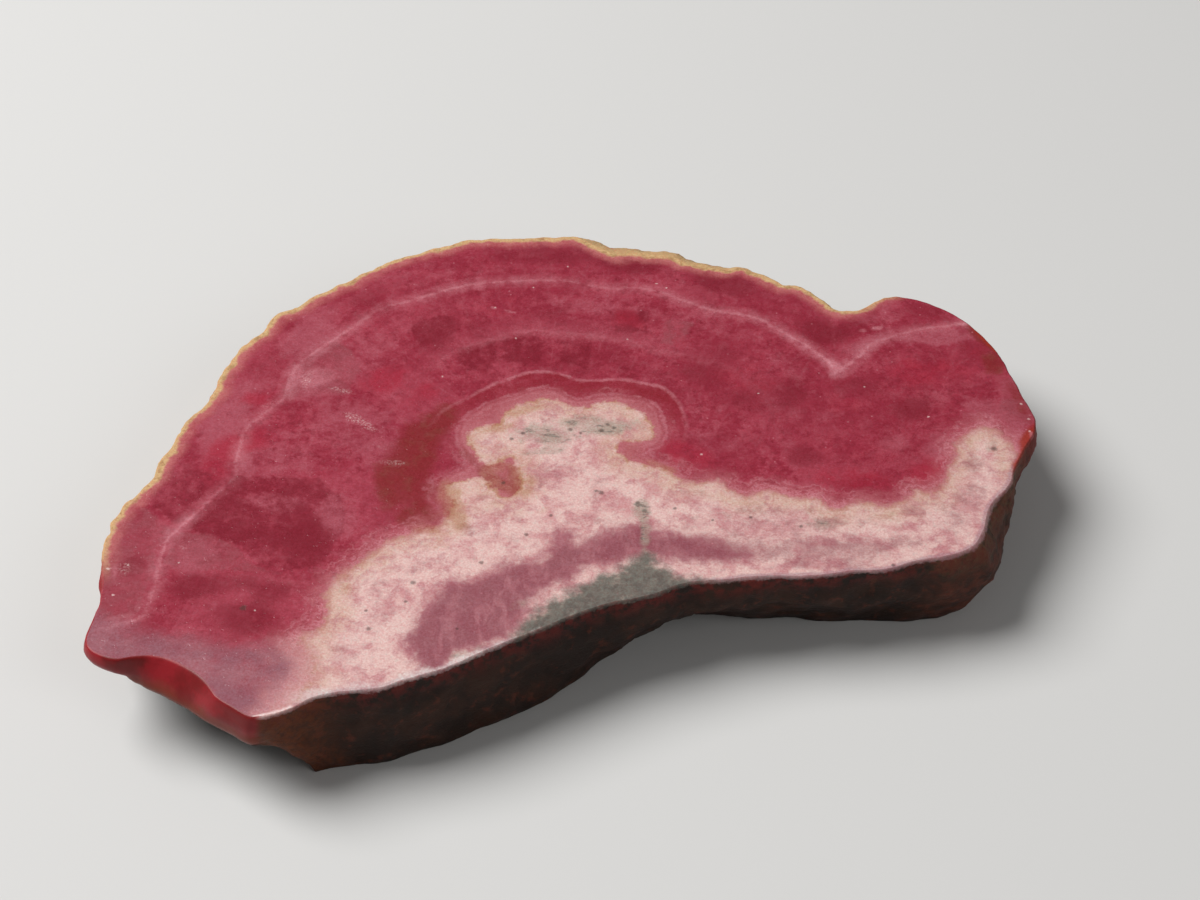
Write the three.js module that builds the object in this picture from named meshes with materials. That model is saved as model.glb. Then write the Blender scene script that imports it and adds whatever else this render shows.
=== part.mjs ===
// A slice of banded rhodochrosite: one natural stone, sawn flat above and below.
// Millimetres, +Z up. The origin is under the middle of the slice, on the surface it rests on,
// and X runs along its longest side. The stone grew as one piece, so it is one solid.
import * as THREE from "three";

const thickness = 6.5; // between the two saw cuts
const edgeSteps = 184; // points round the edge of the slice
const ringDepths = [0, 0.5, 1.0, 1.5, 1.9, 2.4, 3.0, 3.8, 4.7, 5.6, thickness]; // rings of the wall
const heart = new THREE.Vector2(1, -1); // the whole edge can be seen from this point of the plan

// The edge of the upper cut, anticlockwise from the front corner, in stretches with their own walls.
// wall: pairs of a depth below the upper cut and how far the wall stands out beyond its edge there.
const stretches = [
  {
    name: "front corner, a thin ledge over a broken hollow",
    wall: [[0, 0], [1.0, 0.35], [2.2, 0.4], [2.8, -0.3], [4.4, -2.8], [thickness, -4.6]],
    points: [[-20.5, -19.7], [-19.3, -20.5], [-18.2, -21.3], [-17.2, -21.0]],
  },
  {
    name: "front left, broken nearly square",
    wall: [[0, 0], [1.5, 0.3], [3.8, 0.4], [thickness, 0.1]],
    points: [
      [-16.3, -20.7], [-15.2, -19.9], [-13.8, -19.4], [-11.2, -19.1], [-10.0, -18.5],
      [-7.8, -17.7], [-5.9, -16.6], [-3.0, -15.0], [-0.3, -13.5],
    ],
  },
  {
    name: "front middle",
    wall: [[0, 0], [1.4, 0.2], [3.4, 0.1], [thickness, -2.2]],
    points: [[1.6, -12.7], [4.0, -12.0]],
  },
  {
    name: "front right, undercut",
    wall: [[0, 0], [0.9, 0.2], [2.2, 0.1], [3.2, -0.7], [thickness, -4.2]],
    points: [[6.0, -11.1], [8.5, -10.8], [11.0, -10.5], [13.4, -10.5], [16.1, -10.1], [18.4, -9.9]],
  },
  {
    name: "right corner",
    wall: [[0, 0], [1.5, 0.3], [3.0, 0.4], [thickness, -2.0]],
    points: [[20.0, -9.2], [22.1, -8.7]],
  },
  {
    name: "right end, sloping out under the corner",
    wall: [[0, 0], [1.0, 0.8], [2.4, 1.3], [3.8, 1.1], [thickness, -0.5]],
    points: [[23.5, -7.9], [24.0, -7.0], [24.5, -5.7], [25.0, -4.2]],
  },
  {
    name: "right end, drawn in under the lobe",
    wall: [[0, 0], [1.0, 0.1], [3.4, -0.5], [thickness, -1.5]],
    points: [
      [26.1, -3.0], [26.8, -1.2], [27.6, 0.6], [28.3, 1.9], [28.5, 2.7], [28.5, 3.4],
      [28.0, 4.6], [27.7, 6.2],
    ],
  },
  {
    name: "right lobe",
    wall: [[0, 0], [2.4, 0.4], [4.4, 0.2], [thickness, -0.6]],
    points: [
      [27.0, 9.0], [26.0, 11.0], [24.9, 12.6], [23.4, 13.9], [21.9, 14.8], [20.8, 15.0],
      [19.9, 14.7], [19.0, 14.0], [18.0, 13.6], [17.1, 13.2],
    ],
  },
  {
    name: "back rind, right of the middle",
    wall: [[0, 0], [1.6, 0.7], [4.0, 0.5], [thickness, 0.2]],
    points: [[16.3, 14.0], [15.3, 15.1], [14.5, 15.9], [13.0, 16.4], [11.6, 17.3], [10.6, 17.9]],
  },
  {
    name: "back rind, knobbly and standing out under the cut",
    wall: [[0, 0], [0.5, 1.1], [1.3, 1.7], [3.6, 1.2], [thickness, 0.3]],
    points: [
      [8.8, 18.0], [7.4, 18.2], [6.2, 18.9], [4.6, 19.3], [3.6, 19.5], [2.3, 19.2],
      [1.3, 19.8], [0.4, 20.6],
    ],
  },
  {
    name: "crest of the back rind",
    wall: [[0, 0], [2.0, 0.1], [4.0, -0.1], [thickness, -0.8]],
    points: [
      [-0.5, 21.2], [-1.6, 21.3], [-3.6, 21.1], [-5.6, 21.0], [-8.2, 20.7], [-9.1, 20.4],
      [-10.3, 19.8],
    ],
  },
  {
    name: "left rind",
    wall: [[0, 0], [2.0, 0.35], [4.0, 0.2], [thickness, -0.6]],
    points: [
      [-11.2, 19.3], [-12.5, 19.0], [-13.1, 18.4], [-15.0, 17.2], [-16.3, 16.0], [-18.8, 14.1],
      [-20.5, 12.6], [-21.2, 11.3], [-21.8, 10.4], [-22.8, 8.1], [-23.4, 6.1], [-23.6, 4.9],
      [-24.5, 3.3], [-25.2, 1.5], [-26.2, -1.8], [-26.8, -3.4], [-27.9, -4.9],
    ],
  },
  {
    name: "left end",
    wall: [[0, 0], [1.2, 0.15], [2.6, 0], [thickness, -1.8]],
    points: [
      [-28.4, -6.4], [-28.4, -8.8], [-28.1, -10.6], [-28.0, -12.2], [-28.2, -13.8],
    ],
  },
  {
    name: "left tip, thin and undercut",
    wall: [[0, 0], [0.5, 0.2], [1.0, 0.1], [1.5, -0.7], [3.0, -2.8], [thickness, -4.4]],
    points: [[-28.4, -15.2], [-28.3, -16.1], [-27.6, -16.5], [-26.5, -17.0]],
  },
  {
    name: "scooped chip, its lip standing out over a broken hollow",
    wall: [[0, 0], [0.8, 0.8], [1.9, 1.35], [2.3, 1.0], [3.0, -0.6], [4.4, -3.0], [thickness, -4.6]],
    points: [[-25.0, -16.7], [-23.9, -16.8], [-22.1, -17.7], [-21.1, -18.6]],
  },
];

// Every edge point with the wall it stands over, and a closed curve through them.
const stations = stretches.flatMap(({ wall, points }) =>
  points.map(([x, y]) => ({ at: new THREE.Vector3(x, y, 0), wall })),
);
const edge = new THREE.CatmullRomCurve3(
  stations.map((station) => station.at),
  true,
  "centripetal",
);

// How far a wall stands out at a depth, straight from one pair to the next.
function standsOut(wall, depth) {
  const next = Math.max(1, wall.findIndex(([at]) => at >= depth));
  return THREE.MathUtils.mapLinear(
    depth, wall[next - 1][0], wall[next][0], wall[next - 1][1], wall[next][1],
  );
}

// The same at one place along the curve, carried over smoothly from stretch to stretch.
function standsOutAt(u, depth) {
  const place = edge.getUtoTmapping(u) * stations.length;
  const reach = 1.5; // stations to either side that share in it
  let sum = 0;
  let total = 0;
  for (let i = Math.ceil(place - reach); i <= place + reach; i += 1) {
    const weight = 1 - Math.abs(i - place) / (reach + 0.5);
    const { wall } = stations[(i + stations.length) % stations.length];
    sum += standsOut(wall, depth) * weight;
    total += weight;
  }
  return sum / total;
}

// One closed ring of points at a depth below the upper cut.
function ringAt(depth) {
  return Array.from({ length: edgeSteps }, (_, i) => {
    const u = i / edgeSteps;
    const point = edge.getPointAt(u);
    const out = new THREE.Vector2(point.x, point.y).sub(heart);
    out.setLength(out.length() + standsOutAt(u, depth)).add(heart);
    return [out.x, out.y, thickness - depth];
  });
}

// Rings from the upper cut to the lower one, closed by a fan of triangles on each cut,
// then set with the middle of the slice over the origin.
function sliceGeometry() {
  const positions = [];
  const triangles = [];
  for (const depth of ringDepths) {
    positions.push(...ringAt(depth).flat());
  }
  const upperMiddle = positions.length / 3;
  positions.push(heart.x, heart.y, thickness);
  const lowerMiddle = upperMiddle + 1;
  positions.push(heart.x, heart.y, 0);
  const wallSteps = ringDepths.length - 1;
  const lowest = wallSteps * edgeSteps;
  for (let i = 0; i < edgeSteps; i += 1) {
    const next = (i + 1) % edgeSteps;
    triangles.push(upperMiddle, i, next);
    triangles.push(lowerMiddle, lowest + next, lowest + i);
    for (let ring = 0; ring < wallSteps; ring += 1) {
      const above = ring * edgeSteps;
      const below = above + edgeSteps;
      triangles.push(above + i, below + i, below + next);
      triangles.push(above + i, below + next, above + next);
    }
  }
  const geometry = new THREE.BufferGeometry();
  geometry.setAttribute("position", new THREE.Float32BufferAttribute(positions, 3));
  geometry.setIndex(triangles);
  geometry.computeVertexNormals();
  geometry.computeBoundingBox();
  const middle = geometry.boundingBox.getCenter(new THREE.Vector3());
  return geometry.translate(-middle.x, -middle.y, 0);
}

const stone = new THREE.MeshStandardMaterial({ color: 0x9c3f52, roughness: 0.4, metalness: 0 });
stone.flatShading = true;

const slice = new THREE.Mesh(sliceGeometry(), stone);
slice.name = "rhodochrosite_slice";

const part = new THREE.Group();
part.add(slice);

export default part;
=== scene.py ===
import bpy
import math
import numpy as np
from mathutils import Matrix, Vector, noise
from mathutils.bvhtree import BVHTree
from mathutils.geometry import delaunay_2d_cdt


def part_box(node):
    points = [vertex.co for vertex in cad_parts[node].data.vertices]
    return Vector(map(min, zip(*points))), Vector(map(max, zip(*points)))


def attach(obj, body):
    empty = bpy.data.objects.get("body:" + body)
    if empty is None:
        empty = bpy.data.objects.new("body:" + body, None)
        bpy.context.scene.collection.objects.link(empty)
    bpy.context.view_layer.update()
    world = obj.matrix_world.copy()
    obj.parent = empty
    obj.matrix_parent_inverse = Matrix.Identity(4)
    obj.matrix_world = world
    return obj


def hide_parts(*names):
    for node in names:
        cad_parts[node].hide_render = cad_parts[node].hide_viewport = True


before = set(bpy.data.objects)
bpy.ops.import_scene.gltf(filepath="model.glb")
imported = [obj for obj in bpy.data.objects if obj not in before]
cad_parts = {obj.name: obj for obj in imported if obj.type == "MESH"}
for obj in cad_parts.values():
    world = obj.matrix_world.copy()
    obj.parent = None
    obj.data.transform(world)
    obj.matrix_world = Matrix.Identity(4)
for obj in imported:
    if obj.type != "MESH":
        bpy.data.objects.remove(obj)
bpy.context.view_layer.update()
noise.seed_set(235)  # without this the wavers of the markings would differ from run to run

mm = 0.001
nodeName = "rhodochrosite_slice"
boxLow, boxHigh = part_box(nodeName)
sliceHeight = (boxHigh[2] - boxLow[2]) / mm  # shapes are worked out in millimetres and built in metres


cameraView = {
    "lens": 70.0,
    "lookDown": 44.0,  # degrees below level
    "distance": 144.9,
    "aim": (1.1, 0.0),  # on the upper cut, from the middle of the slice
    "nearClip": 5.0,
}

studio = {
    "sky": (255, 255, 255),
    "skyStrength": 0.12,
    "keyPlace": (-290.0, 90.0, 410.0),
    "keySize": 340.0,
    "keyPower": 3.3,
    "fillPlace": (260.0, -230.0, 260.0),
    "fillSize": 240.0,
    "fillPower": 0.3,
    "floorColour": (205, 204, 202),
    "floorSize": 3000.0,
    "floorRoughness": 0.8,
    "floorGap": 0.01,  # between the floor and the stone
}


def colour(red, green, blue):
    # a screen colour, 0 to 255, as the linear colour that a shader takes
    shares = np.array([red, green, blue]) / 255
    linear = np.where(shares <= 0.04045, shares / 12.92, ((shares + 0.055) / 1.055) ** 2.4)
    return (*linear, 1.0)


def makeCamera(view):
    down = math.radians(view["lookDown"])
    middleX = (boxLow[0] + boxHigh[0]) / 2
    middleY = (boxLow[1] + boxHigh[1]) / 2
    aimX, aimY = view["aim"]
    aim = Vector((middleX + aimX * mm, middleY + aimY * mm, boxHigh[2]))
    camera = bpy.data.objects.new("camera", bpy.data.cameras.new("camera"))
    camera.data.lens = view["lens"]
    camera.data.clip_start = view["nearClip"] * mm
    camera.location = aim + Vector((0, -math.cos(down), math.sin(down))) * view["distance"] * mm
    camera.rotation_euler = (math.pi / 2 - down, 0, 0)
    bpy.context.scene.collection.objects.link(camera)
    bpy.context.scene.camera = camera


def makeSoftbox(name, look):
    lamp = bpy.data.lights.new(name, "AREA")
    lamp.shape = "DISK"
    lamp.size = look[name + "Size"] * mm
    lamp.energy = look[name + "Power"]
    softbox = bpy.data.objects.new(name, lamp)
    softbox.location = Vector(look[name + "Place"]) * mm
    softbox.rotation_euler = (-softbox.location).to_track_quat("-Z", "Y").to_euler()
    bpy.context.scene.collection.objects.link(softbox)


def makeStudio(look):
    world = bpy.data.worlds.new("studio")
    bpy.context.scene.world = world
    world.use_nodes = True
    backdrop = world.node_tree.nodes["Background"]
    backdrop.inputs["Color"].default_value = colour(*look["sky"])
    backdrop.inputs["Strength"].default_value = look["skyStrength"]
    makeSoftbox("key", look)
    makeSoftbox("fill", look)
    bpy.context.scene.view_settings.view_transform = "Standard"

    half = look["floorSize"] / 2 * mm
    level = boxLow[2] - look["floorGap"] * mm
    sheet = bpy.data.meshes.new("floor")
    corners = [(-half, -half, level), (half, -half, level), (half, half, level), (-half, half, level)]
    sheet.from_pydata(corners, [], [(0, 1, 2, 3)])
    floor = bpy.data.objects.new("floor", sheet)
    bpy.context.scene.collection.objects.link(floor)
    finish = bpy.data.materials.new("paleFloor")
    finish.use_nodes = True
    shader = finish.node_tree.nodes["Principled BSDF"]
    shader.inputs["Base Color"].default_value = colour(*look["floorColour"])
    shader.inputs["Roughness"].default_value = look["floorRoughness"]
    sheet.materials.append(finish)


makeCamera(cameraView)
makeStudio(studio)
print("camera, light and floor are in place")


def smoothThrough(points, closed=False, spacing=0.25):
    # a Catmull-Rom curve through given points, as closely spaced points
    drawn = np.array(points, float) + marks["shift"]
    if closed:
        held = np.vstack([drawn[-1:], drawn, drawn[:2]])
    else:
        held = np.vstack([2 * drawn[0] - drawn[1], drawn, 2 * drawn[-1] - drawn[-2]])
    stretches = []
    for a, b, c, d in zip(held, held[1:], held[2:], held[3:]):
        count = max(1, int(np.linalg.norm(c - b) / spacing))
        t = np.arange(count)[:, None] / count
        bend = (2 * a - 5 * b + 4 * c - d) * t**2 + (3 * b - a - 3 * c + d) * t**3
        stretches.append((2 * b + (c - a) * t + bend) / 2)
    if not closed:
        stretches.append(held[-2:-1])
    return np.vstack(stretches)


def nearest(places, line, closed=False):
    # how far each place is from a line, and the share of its length before the nearest point
    starts = line if closed else line[:-1]
    runs = (np.roll(line, -1, 0) if closed else line[1:]) - starts
    lengths = np.maximum(np.linalg.norm(runs, axis=1), 1e-9)
    before = np.cumsum(lengths) - lengths
    gaps, shares = [], []
    for some in np.array_split(places, max(1, len(places) // 3000)):
        apartX = some[:, :1] - starts[:, 0]
        apartY = some[:, 1:] - starts[:, 1]
        along = np.clip((apartX * runs[:, 0] + apartY * runs[:, 1]) / lengths**2, 0, 1)
        square = (apartX - along * runs[:, 0]) ** 2 + (apartY - along * runs[:, 1]) ** 2
        pick = square.argmin(1)
        rows = np.arange(len(some))
        gaps.append(np.sqrt(square[rows, pick]))
        shares.append((before[pick] + along[rows, pick] * lengths[pick]) / lengths.sum())
    return np.concatenate(gaps), np.concatenate(shares)


def isInside(places, outline):
    x, y = places.T
    inside = np.zeros(len(places), bool)
    for (x0, y0), (x1, y1) in zip(outline, np.roll(outline, -1, 0)):
        if y0 != y1:
            inside ^= ((y0 > y) != (y1 > y)) & (x < (x1 - x0) * (y - y0) / (y1 - y0) + x0)
    return inside


def smoothStep(values, start, end):
    t = np.clip((values - start) / (end - start), 0, 1)
    return t * t * (3 - 2 * t)


# The markings, in millimetres on the plan. Each pause is a pale line where the crystals stopped growing
# for a while. "around" closes it, so that its inner side is known; "shows" is its strength along it.
marks = {
    "shift": (-0.01, -0.19),  # from where they are drawn to the middle of the slice
    "looseWaver": (0.35, 2.2),  # how far patches and bands waver, and the size of the wavers
    "blockWaver": (0.16, 1.4),
    "outerPause": {
        "points": [
            (-31.0, -15.4), (-28.6, -14.9), (-27.1, -14.5), (-26.1, -14.1), (-25.4, -13.6), (-25.1, -12.2),
            (-24.95, -10.0), (-24.8, -7.7), (-24.0, -6.3), (-22.5, -4.0), (-21.2, -2.1), (-21.4, -1.3),
            (-21.3, 0.6), (-21.0, 2.3), (-19.9, 3.8), (-18.9, 5.2), (-18.8, 7.0), (-18.0, 8.6),
            (-15.8, 11.1), (-14.6, 12.4), (-13.3, 13.7), (-12.0, 14.3), (-10.0, 15.2), (-8.5, 15.85),
            (-6.7, 16.35), (-3.0, 16.6), (-1.8, 16.6), (0.0, 16.2), (1.8, 15.75), (3.2, 15.85), (4.6, 15.6),
            (6.7, 14.5), (8.2, 13.65), (11.1, 12.85), (12.8, 11.6), (14.8, 9.7), (16.0, 8.3), (16.4, 7.3),
            (16.8, 7.8), (17.7, 8.7), (18.8, 10.1), (20.0, 10.8), (22.0, 11.6), (24.4, 12.0), (26.0, 12.2),
            (28.0, 12.6),
        ],
        "around": [(40, 14), (40, -40), (-40, -40), (-40, -16)],
        "shows": [
            (0, 0.3), (0.04, 0.9), (0.08, 0.5), (0.12, 0.6), (0.16, 0.9), (0.18, 0.7), (0.195, 0.3),
            (0.225, 0.3), (0.24, 0.7), (0.28, 0.5), (0.31, 0.4), (0.34, 0.7), (0.38, 0.8), (0.44, 0.4),
            (0.5, 0.7), (0.6, 0.45), (0.66, 0.5), (0.74, 0.6), (0.8, 0.9), (0.86, 1.0), (0.9, 0.4),
            (0.95, 0.6), (0.975, 0.9), (1, 0.6),
        ],
    },
    # the general run of the growth fronts, for the fans of fibres that cross them
    "front": [
        (-29.0, -18.0), (-26.6, -12.0), (-24.4, -6.0), (-21.6, 0.6), (-18.4, 7.6), (-12.0, 14.0),
        (-3.0, 16.6), (6.0, 15.0), (12.6, 11.6), (16.6, 9.6), (20.6, 10.8), (24.6, 11.6), (27.6, 8.6),
        (29.4, 3.0), (29.0, -4.0),
    ],
    "middlePause": {
        "points": [
            (-11.2, 3.6), (-10.4, 6.6), (-9.2, 8.4), (-8.0, 9.3), (-6.7, 10.15), (-5.6, 10.55),
            (-4.6, 11.05), (-3.0, 11.35), (-1.8, 11.05), (0.0, 10.9), (2.6, 10.4), (5.0, 9.4), (7.5, 8.6),
            (9.0, 7.9), (10.6, 6.4), (11.8, 4.4), (12.3, 2.2), (12.3, 0.0),
        ],
        "around": [(12.3, -30), (-12, -30), (-12, 0)],
        "shows": [(0, 0), (0.1, 0.1), (0.2, 0.8), (0.45, 1.0), (0.6, 0.6), (0.75, 0.35), (0.9, 0.3), (1, 0)],
    },
    "innerPause": {
        "points": [
            (-9.6, 2.2), (-9.1, 3.4), (-8.3, 4.2), (-6.6, 5.5), (-5.6, 6.3), (-4.0, 7.15), (-3.1, 7.45),
            (-2.2, 7.4), (-1.3, 7.15), (-0.5, 6.7), (0.2, 6.6), (2.1, 6.7), (3.0, 6.6), (4.1, 6.3),
            (5.0, 6.0), (5.5, 5.4), (6.1, 4.5), (6.4, 3.3), (6.5, 2.0), (6.2, 0.6),
        ],
        "around": [(6.0, -30), (-11, -30), (-10, 0)],
        "shows": [(0, 0.1), (0.15, 0.6), (0.3, 0.9), (0.55, 0.8), (0.75, 1.0), (0.88, 0.6), (1, 0)],
    },
    "coreHalo": {
        "points": [
            (-8.9, -6.6), (-8.3, -5.8), (-8.6, -4.4), (-8.6, -2.8), (-8.1, -1.8), (-7.1, -1.2), (-7.5, 0.1),
            (-7.9, 1.3), (-7.6, 2.8), (-6.9, 3.8), (-6.0, 4.5), (-5.0, 5.0), (-4.0, 5.5), (-3.0, 5.9),
            (-2.1, 5.95), (-1.4, 5.65), (-0.8, 5.1), (0.0, 4.95), (1.0, 5.25), (2.1, 5.3), (3.1, 5.15),
            (4.1, 4.8), (4.8, 4.2), (5.1, 2.9), (5.2, 1.4), (4.8, 0.5), (4.1, 0.2), (4.4, -0.4), (5.0, -1.0),
            (5.7, -1.6), (6.3, -2.1), (7.2, -2.3),
        ],
        "around": [(7.2, -30), (-9.5, -30)],
        "shows": [(0, 0.2), (0.1, 0.6), (0.3, 0.8), (0.5, 1.0), (0.8, 1.0), (0.9, 0.8), (1, 0.3)],
    },
    "core": [
        (-7.05, 1.6), (-6.5, 2.2), (-5.6, 2.5), (-5.1, 2.8), (-4.9, 3.6), (-4.2, 4.15), (-3.2, 4.65),
        (-2.2, 4.9), (-1.35, 4.65), (-0.6, 4.15), (0.1, 4.1), (1.0, 4.4), (1.7, 4.65), (2.4, 4.5),
        (3.0, 4.0), (3.8, 3.3), (4.3, 2.5), (4.45, 1.7), (4.05, 1.1), (3.2, 0.9), (2.3, 0.95), (2.05, 0.6),
        (2.3, 0.0), (2.95, -0.85), (4.0, -1.25), (5.0, -1.6), (5.75, -2.0), (6.1, -2.6), (7.1, -2.75),
        (8.3, -2.6), (9.0, -3.3), (10.0, -4.0), (11.1, -3.45), (12.0, -3.65), (13.0, -4.0), (14.1, -4.05),
        (15.0, -4.85), (15.8, -4.95), (16.7, -4.5), (17.6, -4.5), (18.3, -4.85), (19.3, -4.5), (20.0, -4.0),
        (20.4, -3.45), (21.2, -3.65), (22.1, -2.95), (22.6, -1.7), (23.15, -0.65), (23.3, 0.55),
        (24.0, 1.45), (25.0, 2.2), (25.5, 2.1), (26.2, 1.4), (26.8, 0.0), (26.9, -1.4), (29.0, -6.0),
        (22.0, -12.0), (4.0, -15.0), (-10.0, -22.0), (-16.6, -22.5), (-16.2, -20.4), (-15.3, -18.9),
        (-15.0, -17.5), (-15.35, -16.3), (-16.0, -15.3), (-15.2, -14.9), (-14.65, -13.55), (-14.85, -12.0),
        (-14.2, -10.6), (-13.1, -9.5), (-12.1, -8.4), (-11.5, -7.7), (-10.0, -7.0), (-8.7, -6.6),
        (-8.0, -5.5), (-7.75, -4.5), (-8.2, -3.4), (-8.0, -2.8), (-7.25, -2.45), (-6.5, -2.35), (-5.9, -2.4),
        (-5.4, -3.1), (-4.9, -3.8), (-4.4, -3.9), (-4.1, -3.6), (-3.7, -2.7), (-4.0, -1.5), (-4.45, -0.4),
        (-4.9, -0.75), (-5.3, -1.05), (-5.9, -1.0), (-6.4, -0.5), (-6.65, 0.1), (-7.15, 0.85),
    ],
    "roseBand": [
        (-8.6, -19.0), (-9.2, -17.5), (-9.95, -15.95), (-9.7, -14.75), (-9.35, -13.5), (-8.85, -12.35),
        (-8.0, -11.15), (-7.1, -10.9), (-6.1, -10.65), (-5.0, -9.6), (-4.0, -9.25), (-3.0, -9.25),
        (-2.15, -8.4), (-1.45, -6.85), (-0.8, -6.7), (-0.25, -7.55), (0.75, -7.35), (1.65, -6.5),
        (2.85, -6.2), (3.85, -6.35), (5.0, -6.85), (7.4, -7.4), (8.7, -7.9), (9.8, -8.8), (7.6, -9.2),
        (5.0, -9.25), (3.4, -8.9), (1.65, -9.6), (0.0, -9.8), (-0.8, -10.8), (-2.2, -11.9), (-3.0, -13.4),
        (-3.8, -14.9), (-5.3, -15.7), (-7.0, -16.6),
    ],
    "greyPatch": [
        (-5.0, -18.0), (-4.4, -16.6), (-3.6, -14.9), (-2.4, -13.3), (-1.1, -12.1), (0.5, -11.1),
        (2.0, -10.2), (3.1, -9.2), (4.1, -8.8), (4.6, -9.6), (5.4, -10.3), (6.8, -10.8), (8.4, -11.2),
        (9.0, -12.5), (4.0, -14.5), (-1.0, -16.5),
    ],
    # painted sheen: a paler veil over the front left
    "sheenVeil": [
        (-30.0, -13.6), (-27.0, -14.5), (-25.0, -15.0), (-22.4, -15.3), (-20.0, -15.9), (-17.6, -16.0),
        (-15.9, -17.0), (-15.2, -18.8), (-14.0, -24.0), (-30.0, -24.0),
    ],
    # blocks of deeper or dustier stone with fairly sharp sides
    "deepBlocks": [
        [
            (-23.9, -6.6), (-22.5, -4.0), (-21.3, -2.1), (-18.4, -2.1), (-16.0, -2.3), (-14.6, -4.0),
            (-14.2, -6.6), (-15.2, -9.4), (-17.0, -10.0), (-19.4, -9.3), (-20.8, -7.7),
        ],
        [
            (-25.9, -1.7), (-23.6, -1.6), (-21.6, -2.3), (-23.0, -4.9), (-24.2, -6.5), (-26.0, -4.8),
            (-26.5, -3.6),
        ],
        [(-8.2, 8.3), (-8.1, 9.9), (-5.8, 10.4), (-5.4, 8.5), (-6.6, 7.3)],
        [(-5.2, 8.4), (-5.2, 10.8), (-3.4, 11.2), (-2.6, 10.5), (-2.7, 8.4), (-3.8, 8.0)],
        [(-1.5, 8.6), (-1.4, 10.5), (0.4, 10.5), (0.6, 9.0), (0.2, 7.6)],
        [(2.1, 11.4), (1.9, 13.4), (4.4, 13.5), (4.2, 11.2)],
        [(-11.5, 12.4), (-9.0, 13.0), (-7.8, 12.3), (-8.7, 10.7), (-10.6, 9.9)],
    ],
    "dustyBlocks": [
        [(-19.2, 4.9), (-18.8, 7.6), (-16.0, 10.8), (-14.2, 8.0), (-15.0, 5.2)],
        [
            (-24.2, -6.9), (-22.2, -7.0), (-20.8, -7.9), (-19.4, -9.5), (-17.4, -10.3), (-20.4, -9.9),
            (-23.6, -10.2), (-24.8, -9.4),
        ],
        [
            (-28.9, -5.4), (-26.4, -4.9), (-24.6, -6.6), (-25.2, -8.4), (-25.6, -13.4), (-27.2, -14.4),
            (-29.2, -14.6),
        ],
        [(26.7, 6.8), (26.6, 5.4), (26.2, 3.2), (27.2, 2.2), (28.9, 2.6), (28.4, 5.4), (27.9, 6.9)],
        [(5.0, 9.9), (5.4, 12.6), (7.2, 12.4), (6.6, 10.2)],
    ],
    # each: x, y, half length, half width, turn in degrees, strength
    "deep": [
        (-20.0, -6.6, 1.3, 1.1, 0, 0.6), (-16.4, -7.4, 1.4, 2.0, 0, 0.7), (-26.6, -9.6, 0.8, 1.0, 0, 0.6),
        (-22.6, -11.4, 1.6, 1.2, 0, 0.9), (-19.2, -13.8, 1.9, 1.4, 0, 0.9), (-18.0, -11.7, 1.3, 0.9, 0, 0.8),
        (-2.4, 19.4, 4.2, 1.2, 0, 0.7), (3.4, 18.2, 2.6, 1.0, -5, 0.8), (9.4, 16.2, 2.8, 1.2, -25, 0.9),
        (-14.2, 14.8, 1.8, 1.2, 40, 0.5), (15.4, 11.2, 1.3, 1.6, 30, 0.9), (-9.8, 11.4, 1.8, 1.4, 30, 0.5),
        (13.2, 5.2, 1.1, 1.7, 0, 0.7), (11.0, 4.8, 1.2, 1.4, 0, 0.5), (7.6, 7.2, 1.8, 1.2, -20, 0.6),
        (9.4, 5.0, 1.2, 0.9, 0, 0.5), (-20.2, 8.0, 1.2, 2.0, -30, 0.4), (17.4, 11.6, 1.6, 1.0, 40, 0.6),
        (20.8, 3.9, 1.7, 1.2, 10, 0.8), (2.6, 8.2, 1.4, 0.7, -15, 0.4), (-20.4, -11.0, 1.8, 0.9, 0, 0.6),
        (25.2, 9.4, 1.2, 1.4, 0, 0.6), (22.8, 13.4, 1.6, 0.8, -20, 0.6), (13.8, -0.4, 1.3, 1.0, 0, 0.8),
        (17.6, 6.0, 1.6, 1.2, 0, 0.6), (-9.6, 10.1, 1.3, 0.9, 30, 0.5), (-2.3, 13.4, 1.2, 0.6, 10, 0.6),
        (16.4, -2.7, 1.4, 0.8, 0, 0.5), (3.2, 12.8, 1.3, 0.7, -10, 0.8), (9.2, 9.2, 1.1, 0.9, 20, 0.5),
        (11.4, 6.4, 1.2, 0.8, 0, 0.4), (-7.0, 12.0, 1.0, 0.6, 20, 0.5),
    ],
    "dusty": [
        (-22.2, 3.6, 1.4, 4.0, -20, 0.8), (-14.4, 8.8, 2.6, 2.0, 35, 0.5), (-22.9, -9.0, 1.2, 2.0, 0, 0.6),
        (-14.6, 2.4, 3.0, 2.2, 0, 0.6), (-19.0, -0.6, 3.0, 1.8, 0, 0.55), (-25.6, -1.0, 0.6, 3.0, -15, 0.4),
        (-17.6, 12.6, 2.0, 1.6, 45, 0.6), (-10.4, 16.6, 3.0, 0.9, 15, 0.35),
        (-14.8, -5.6, 1.3, 2.2, 10, 0.7), (-18.5, -4.5, 2.0, 1.0, -10, 0.5), (5.4, 12.6, 5.6, 1.6, -12, 0.4),
        (13.6, 8.4, 2.0, 2.0, 40, 0.3), (-2.0, 13.8, 3.6, 1.0, 0, 0.4), (-12.4, -0.2, 2.0, 1.6, 0, 0.5),
        (19.6, 12.9, 2.2, 0.8, 15, 0.5), (14.6, 3.4, 3.0, 1.4, 20, 0.3), (25.6, 3.6, 1.8, 1.6, 0, 0.7),
        (8.4, 0.8, 3.6, 1.2, -10, 0.4), (27.2, 1.0, 0.8, 1.8, -10, 0.9), (18.6, 10.2, 2.4, 0.8, 30, 0.8),
        (23.6, 10.8, 3.4, 0.7, 6, 0.8), (19.4, 0.9, 1.2, 0.9, 0, 0.6), (22.2, 0.2, 1.0, 1.4, 0, 0.7),
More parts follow.
